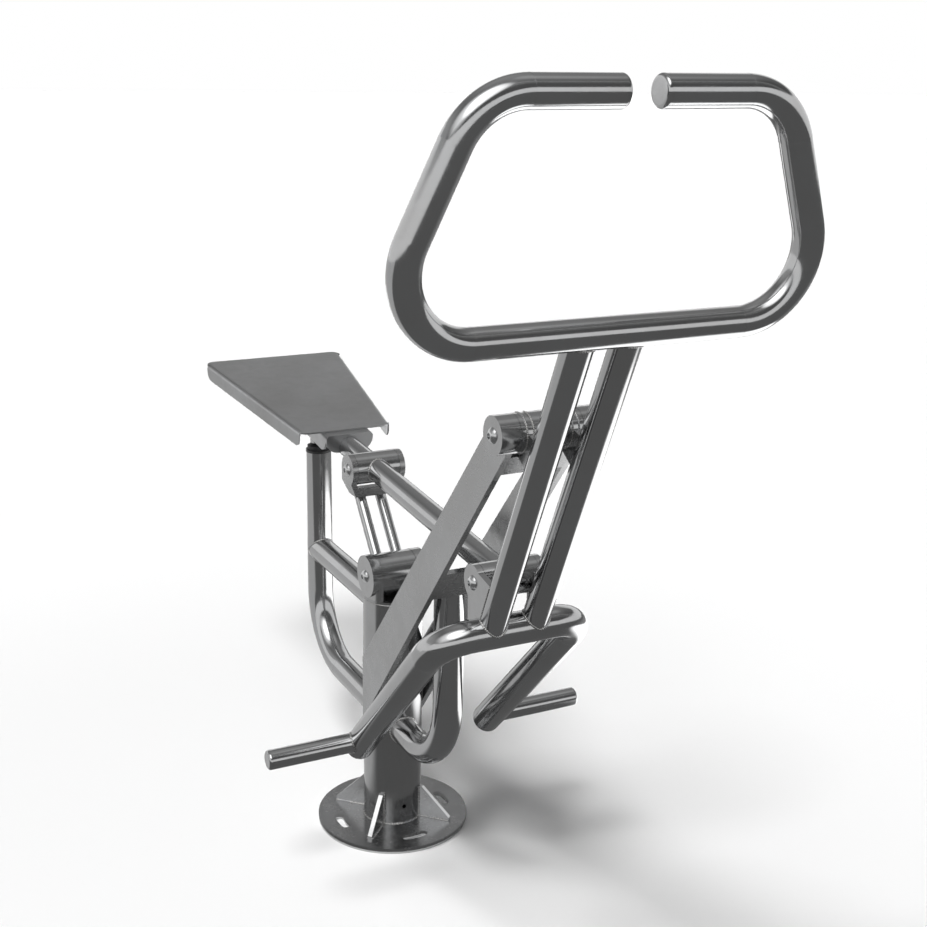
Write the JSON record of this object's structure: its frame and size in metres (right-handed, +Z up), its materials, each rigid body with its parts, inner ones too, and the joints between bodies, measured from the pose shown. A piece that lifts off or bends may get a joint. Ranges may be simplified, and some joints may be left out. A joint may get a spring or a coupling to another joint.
{
  "type": "outdoor rowing machine",
  "caption": "Free-standing outdoor rowing machine of stainless steel tube: a post with a slotted base plate, a handle lever with foot pegs, and a seat on a rocker that moves with the handle.",
  "frame": {"origin": "centre of the base plate's bottom face, under the post", "axes": "+Z up, +Y towards the seat (rear), handle and foot pegs at -Y, +X to the right as seen from the handle side looking at the seat"},
  "size_m": [0.6298, 1.4002, 1.3757],
  "materials": {
    "tube": "polished stainless steel tube",
    "plate": "brushed stainless steel plate",
    "machined": "machined stainless steel",
    "rubber": "matt black rubber",
    "plastic": "black plug",
    "bronze": "sintered bronze"
  },
  "bodies": {
    "frame": {"base_plate": "plate", "base_gussets": "plate", "post": "tube", "post_head_plate": "plate", "head_cheek_left": "plate", "head_cheek_right": "plate", "rear_frame_tube": "tube", "front_frame_tube": "tube", "strut_tube": "tube", "rear_buffer": "rubber", "side_bar_left": "plate", "side_bar_right": "plate", "cross_bracket": "plate", "upper_cross_plate": "plate", "hub_c_ring_left": "tube", "hub_c_ring_right": "tube", "axle_a": "machined", "axle_c": "machined", "bolts_a": "machined", "bolts_c": "machined"},
    "handle_lever": {"handle_loop": "tube", "loop_end_caps": "tube", "upright_left": "tube", "upright_right": "tube", "lever_bracket_left": "plate", "lever_bracket_right": "plate", "sleeve_c": "tube", "bearings_c": "machined", "ear_b_left": "plate", "ear_b_right": "plate", "axle_b": "machined", "bushes_b": "bronze", "bolts_b": "machined", "footrest_tube": "tube", "footrest_end_caps": "tube", "peg_left": "tube", "peg_right": "tube", "peg_end_caps": "tube"},
    "rocker": {"rocker_sleeve": "tube", "rocker_rods": "tube", "rocker_yoke": "plate", "bearings_a": "machined", "axle_d_pin": "machined", "bolts_d": "machined"},
    "seat_assembly": {"seat_plate": "plate", "seat_channel": "plate", "channel_end_plate": "plate", "channel_diaphragms": "plate", "seat_tube_front": "tube", "seat_tube_rear": "tube", "seat_tube_plug": "plastic", "sleeve_d": "tube", "sleeve_b": "tube", "bearings_d": "machined", "stop_striker": "plate"}
  },
  "joints": [
    {"name": "handle_swing", "type": "hinge", "parent": "frame", "child": "handle_lever", "pos_m": [0, -0.526, 0.888], "axis": [-1, 0, 0], "range_deg": [0, 20]},
    {"name": "rocker_swing", "type": "hinge", "parent": "frame", "child": "rocker", "pos_m": [0, 0, 0.491], "axis": [1, 0, 0], "range_deg": [0, 30]},
    {"name": "seat_pivot", "type": "hinge", "parent": "rocker", "child": "seat_assembly", "pos_m": [0, 0.089, 0.665], "axis": [-1, 0, 0], "range_deg": [0, 25]}
  ],
  "couplings": [
    {"joint": "rocker_swing", "follows": "handle_swing", "ratio": 1.484},
    {"joint": "seat_pivot", "follows": "handle_swing", "ratio": 1.219}
  ]
}
